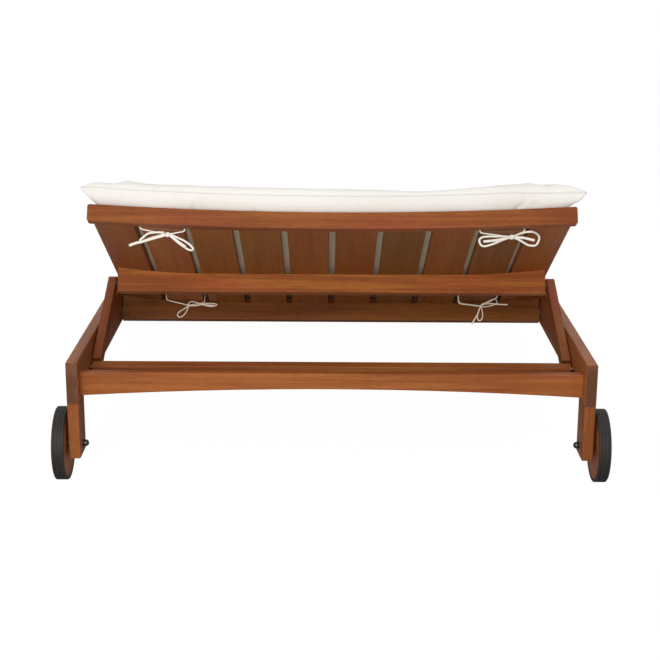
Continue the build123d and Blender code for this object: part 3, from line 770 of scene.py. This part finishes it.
# Tapes of the cushion, tied in bows round the second slat from each side.
# A knot is across, up the slope and off the slats, in metres.
# A strap gives how far up the slope and off the slats its end comes round the slat, and its half width.
# Loops and tails run in millimetres from the knot: across, towards the foot end and up.
bows = {
    "upper_left": {
        "knot": (-0.442, 0.697, 0.006),
        "slat": 2,
        "straps": ((0.716, 0.002, 0.0018), (0.716, 0.002, 0.0018)),
        "half_width": 0.0032,
        "loops": (
            ((-7, -7, 7), (-24, -9, 9), (-41, -3, 6), (-54, 0, 3), (-64, 0, -6), (-73, 0, -13),
             (-75, 0, -20), (-59, 0, -15), (-39, 0, -7), (-18, 0, -2), (-5, 0, 1)),
            ((6, 0, 1), (26, 0, -6), (47, 0, -16), (62, 0, -28), (69, 0, -37), (62, 0, -43),
             (43, 0, -32), (26, 0, -19), (13, 0, -7), (5, 0, -2)),
        ),
        "tails": (
            ((-4, 0, -1), (-21, 0, -3), (-39, 0, -8), (-56, 0, -13), (-71, 0, -18), (-87, 0, -21),
             (-104, 0, -28)),
            ((5, 0, -1), (19, 0, -9), (35, 0, -21), (48, 0, -30)),
        ),
    },
    "upper_right": {
        "knot": (0.483, 0.685, 0.006),
        "slat": 9,
        "straps": ((0.716, 0.002, 0.0018), (0.716, 0.002, 0.0018)),
        "half_width": 0.0032,
        "loops": (
            ((-6, 0, 1), (-24, -6, 4), (-48, -9, 4), (-67, -9, 4), (-80, -5, 1), (-87, 0, -5),
             (-87, 0, -13), (-83, 0, -21), (-76, 0, -26), (-62, 0, -23), (-47, 0, -18), (-34, 0, -12),
             (-21, 0, -6), (-6, 0, -2)),
            ((5, 0, 2), (15, -15, 12), (30, -28, 21), (50, -29, 23), (67, -8, 13), (75, 0, 1),
             (73, 0, -9), (67, 0, -21), (56, 0, -22), (43, 0, -20), (31, 0, -12), (19, 0, -5),
             (7, 0, -2)),
        ),
        "tails": (
            ((-6, 0, 0), (-28, 0, -4), (-47, 0, -7), (-66, 0, -9), (-76, 0, -10)),
            ((6, 0, 0), (21, 0, 3), (38, 0, 1), (49, 0, -2), (62, 0, -5)),
        ),
    },
    "lower_left": {
        "knot": (-0.447, 0.024, 0.015),
        "slat": 2,
        "straps": ((0.041, 0.007, 0.0018), (0.031, 0.006, 0.0014)),
        "half_width": 0.0020,
        "loops": (
            ((-2, 0, -4), (-14, 0, -12), (-27, -4, -18), (-33, -8, -25), (-33, -11, -31),
             (-25, -13, -35), (-15, -11, -30), (-7, -6, -22), (-3, -1, -13), (1, 0, -4)),
            ((1, 0, -2), (15, 0, 0), (31, 0, 3), (51, 0, 8), (66, 0, 9), (84, 0, 8), (92, 0, 5),
             (84, 0, 0), (69, 0, -2), (55, 0, 1), (40, 0, 6), (29, 0, 11), (17, -8, 16), (8, -8, 16),
             (3, 0, 9), (0, 0, 2)),
        ),
        "tails": (((3, 0, 0), (24, 0, 1), (40, 0, 6), (61, 0, 4), (82, 0, 3)),),
    },
    "lower_right": {
        "knot": (0.468, 0.024, 0.014),
        "slat": 9,
        "straps": ((0.064, 0.014, 0.0026), (0.076, 0.004, 0.0018)),
        "half_width": 0.0020,
        "loops": (
            ((-1, 0, -4), (-6, -1, -13), (-10, -8, -25), (-11, -13, -35), (-6, -17, -42), (1, -16, -40),
             (6, -12, -32), (6, -4, -18), (2, 0, -5)),
            ((1, 0, 4), (7, 0, 10), (19, -11, 19), (30, -28, 30), (37, -39, 36), (47, -21, 27),
             (52, 0, 13), (44, 0, 8), (30, 0, 3), (16, 0, 0), (5, 0, -2)),
        ),
        "tails": (
            ((-3, 0, -5), (-7, -3, -17), (-13, -9, -27), (-21, -15, -37), (-29, -22, -49)),
            ((6, 0, 8), (21, 0, 13), (32, 0, 13), (49, 0, 11), (66, 0, 10), (84, 0, 10)),
        ),
    },
}
towards_head = Vector((0, -1, 0))
off_slats = Vector((0, -sin(back_angle), -cos(back_angle)))


def under_slat(x, along, drop):
    """Place under the back slats, a drop below their undersides."""
    return on_back(x, along, panel_offset - dish_depth + dish_rise(x) - drop)


def smooth_route(name, points):
    """Points along the smooth open curve that the control points lead."""
    route, spline = route_through(name, points, resolution=6)
    spline.order_u = 3
    spline.use_endpoint_u = True
    mesh = as_mesh(name, route)
    places = [vert.co.copy() for vert in mesh.vertices]
    bpy.data.meshes.remove(mesh)
    return places


def sweep_tape(form, places, half_width):
    """Sweep a tape along the places with its flat side towards the head end."""
    stations = []
    for before, place, after in zip(places[:1] + places, places, places[1:] + places[-1:]):
        ahead = (after - before).normalized()
        across = towards_head.cross(ahead).normalized()
        flat = ahead.cross(across)
        turn = Matrix((across * half_width, flat * tape_half_thickness, ahead)).transposed()
        stations.append(Matrix.Translation(place) @ turn.to_4x4())
    made = bmesh.ops.create_circle(form, cap_ends=True, segments=8, radius=1, matrix=stations[0])
    edges = list({edge for vert in made["verts"] for edge in vert.link_edges})
    for before, after in zip(stations, stations[1:]):
        grown = bmesh.ops.extrude_edge_only(form, edges=edges)["geom"]
        ring = [item for item in grown if isinstance(item, bmesh.types.BMVert)]
        drawn = [item for item in grown if isinstance(item, bmesh.types.BMEdge)]
        edges = [edge for edge in drawn if set(edge.verts) <= set(ring)]
        bmesh.ops.transform(form, matrix=after @ before.inverted(), verts=ring)
    bmesh.ops.holes_fill(form, edges=edges, sides=8)


def strap_route(knot, gap_x, along, drop):
    """Route of a tape's end from over the slats, down through a gap and straight to the knot."""
    bend = under_slat(gap_x, along, drop)
    return [
        under_slat(gap_x, along, -slat_thickness), under_slat(gap_x, along, -0.005),
        bend, bend.lerp(knot, 0.35), knot,
    ]


def build_bow(name, bow):
    """One tape bow: two ends round the slat, a knot, loops and tails."""
    knot = under_slat(*bow["knot"])
    half_width = bow["half_width"]
    slat_left = -slatted_half + (bow["slat"] - 1) * slat_pitch
    form = bmesh.new()
    gaps = (slat_left - strap_gap, slat_left + slat_width + strap_gap)
    for gap_x, (along, drop, strap_half_width) in zip(gaps, bow["straps"]):
        places = smooth_route(f"{name}_strap", strap_route(knot, gap_x, along, drop))
        sweep_tape(form, places, strap_half_width)
    for number, route in enumerate(bow["loops"] + bow["tails"]):
        lift = tape_stacking * (number + 1)
        points = []
        for step in route:
            away = Vector(step) * 0.001
            points.append(knot + away + off_slats * lift * ease(away.length, 0, 0.02))
        width = half_width * (loop_width_share if number < len(bow["loops"]) else tail_width_share)
        sweep_tape(form, smooth_route(f"{name}_strand", points), width)
    bmesh.ops.recalc_face_normals(form, faces=form.faces)
    ball = bmesh.ops.create_icosphere(form, subdivisions=3, radius=half_width * knot_size)
    for vert in ball["verts"]:
        lump = 1 + 0.25 * noise.noise(vert.co * 260)
        vert.co = Vector([part * share for part, share in zip(vert.co, knot_shares)]) * lump + knot
    cut = form.loops.layers.uv.verify()
    for face in form.faces:
        for loop in face.loops:
            loop[cut].uv = (loop.vert.co.x, loop.vert.co.z)
    # The lower bows take the warmer copy of the tape cloth, painted bounce light
    piece = as_object(f"bow_{name}", form, tape_cloth if name.startswith("upper") else painted_light_tape_cloth)
    piece.data.uv_layers[0].name = "cut"
    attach(piece, "backrest")
    if name.startswith("upper"):
        anchor = under_slat(*bow["knot"][:2], 0)
        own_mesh(piece)
    return piece


bow_pieces = [build_bow(name, bow) for name, bow in bows.items()]
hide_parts("cushion_ties")


# Dark sheet that joins the two cushions across their fold: painted shade where the gaps under the fold
# look dark
def build_fold_strip():
    """Thin dark strip of cloth from under the back cushion to under the seat cushion, painted shade."""
    form = bmesh.new()
    bmesh.ops.create_grid(form, x_segments=48, y_segments=14, size=1)
    seat_start = seat_slat_start - strip_overhang
    gap_share = strip_seat_share - strip_back_share
    for vert in form.verts:
        x = vert.co.x * strip_half_length
        share = (vert.co.y + 1) / 2
        back_plane = panel_offset + slat_thickness - dish_depth + dish_rise(x) + strip_lift
        seat_plane = slat_underside + slat_thickness - dish_depth + dish_rise(x) + strip_lift
        edge = on_back(x, 0.0, back_plane)
        start = Vector((x, seat_start, seat_plane))
        if share < strip_back_share:
            vert.co = on_back(x, strip_on_back * (1 - share / strip_back_share), back_plane)
        elif share < strip_seat_share:
            vert.co = edge.lerp(start, (share - strip_back_share) / gap_share)
        else:
            run = strip_on_seat * (share - strip_seat_share) / (1 - strip_seat_share)
            vert.co = start + Vector((0, run, 0))
    bmesh.ops.solidify(form, geom=form.faces[:], thickness=strip_thickness)
    bmesh.ops.recalc_face_normals(form, faces=form.faces)
    cut = form.loops.layers.uv.verify()
    for face in form.faces:
        for loop in face.loops:
            loop[cut].uv = loop.vert.co.xy
    piece = as_object("fold_strip", form, painted_shade_cloth)
    piece.data.uv_layers[0].name = "cut"
    middle = panel_offset + slat_thickness - dish_depth
    on_back(0, 0.0, middle)
    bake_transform(piece)


build_fold_strip()


# Floor and backdrop
floor_half = 14.0
floor_grey = (0.60, 0.62)
floor_glow = 1.06
floor_glow_share = 0.92
form = bmesh.new()
bmesh.ops.create_grid(form, x_segments=1, y_segments=1, size=floor_half)
floor_finish = Finish("studio floor", Roughness=0.9)
grain = floor_finish.mottle(floor_finish.place(), 3.0, 2.0)
greys = [colour(grey, grey, grey) for grey in floor_grey]
floor_finish.set(Base_Color=floor_finish.blend(grain, *greys))
tree = floor_finish.tree
glow = tree.nodes.new("ShaderNodeEmission")
glow.inputs["Strength"].default_value = floor_glow
paths = tree.nodes.new("ShaderNodeLightPath")
seen = Tone(tree, paths.outputs["Is Camera Ray"]) * floor_glow_share
mix = tree.nodes.new("ShaderNodeMixShader")
plug(tree, mix.inputs[0], seen)
tree.links.new(floor_finish.shader.outputs[0], mix.inputs[1])
tree.links.new(glow.outputs[0], mix.inputs[2])
tree.links.new(mix.outputs[0], tree.nodes["Material Output"].inputs[0])
studio_floor = as_object("studio_floor", form, floor_finish.material)

# World: even light, seen as white
world = bpy.data.worlds.new("studio")
bpy.context.scene.world = world
world.use_nodes = True
sky = world.node_tree
backdrop = sky.nodes["Background"]
backdrop.inputs["Color"].default_value = colour(1.0, 1.0, 1.0)
rays = sky.nodes.new("ShaderNodeLightPath")
direct = Tone(sky, rays.outputs["Is Camera Ray"])
for output in ("Is Glossy Ray", "Is Transmission Ray"):
    direct = direct.math("MAXIMUM", direct, Tone(sky, rays.outputs[output]))
world_light = 0.38
plug(sky, backdrop.inputs["Strength"], world_light + direct * (1 - world_light))


def soft_lamp(name, place, aim, size, power):
    """Large soft lamp at a place, turned towards an aim."""
    lamp = bpy.data.lights.new(name, "AREA")
    lamp.shape = "SQUARE"
    lamp.size = size
    lamp.energy = power
    holder = bpy.data.objects.new(name, lamp)
    holder.location = place
    holder.rotation_euler = (Vector(aim) - Vector(place)).to_track_quat("-Z", "Y").to_euler()
    bpy.context.scene.collection.objects.link(holder)


soft_lamp("overhead", (0.3, 0.4, 3.6), (0, 0, 0.3), 2.6, 42)
soft_lamp("front", (-0.7, -4.8, 1.75), (0, -0.5, 0.3), 2.2, 138)

# Camera behind the head end
camera_place = (-0.0161, -4.5705, 1.4075)
camera_yaw = radians(-0.17)
camera_pitch = radians(15.32)
camera_roll = radians(0.35)
camera_data = bpy.data.cameras.new("camera")
camera_data.sensor_width = 36
camera_data.lens = 79.58
camera = bpy.data.objects.new("camera", camera_data)
turn = Matrix.Rotation(camera_yaw, 4, "Z")
turn = turn @ Matrix.Rotation(pi / 2 - camera_pitch, 4, "X")
turn = turn @ Matrix.Rotation(camera_roll, 4, "Z")
camera.matrix_world = Matrix.Translation(camera_place) @ turn
bpy.context.scene.collection.objects.link(camera)
bpy.context.scene.camera = camera
bpy.context.scene.view_settings.view_transform = "Standard"
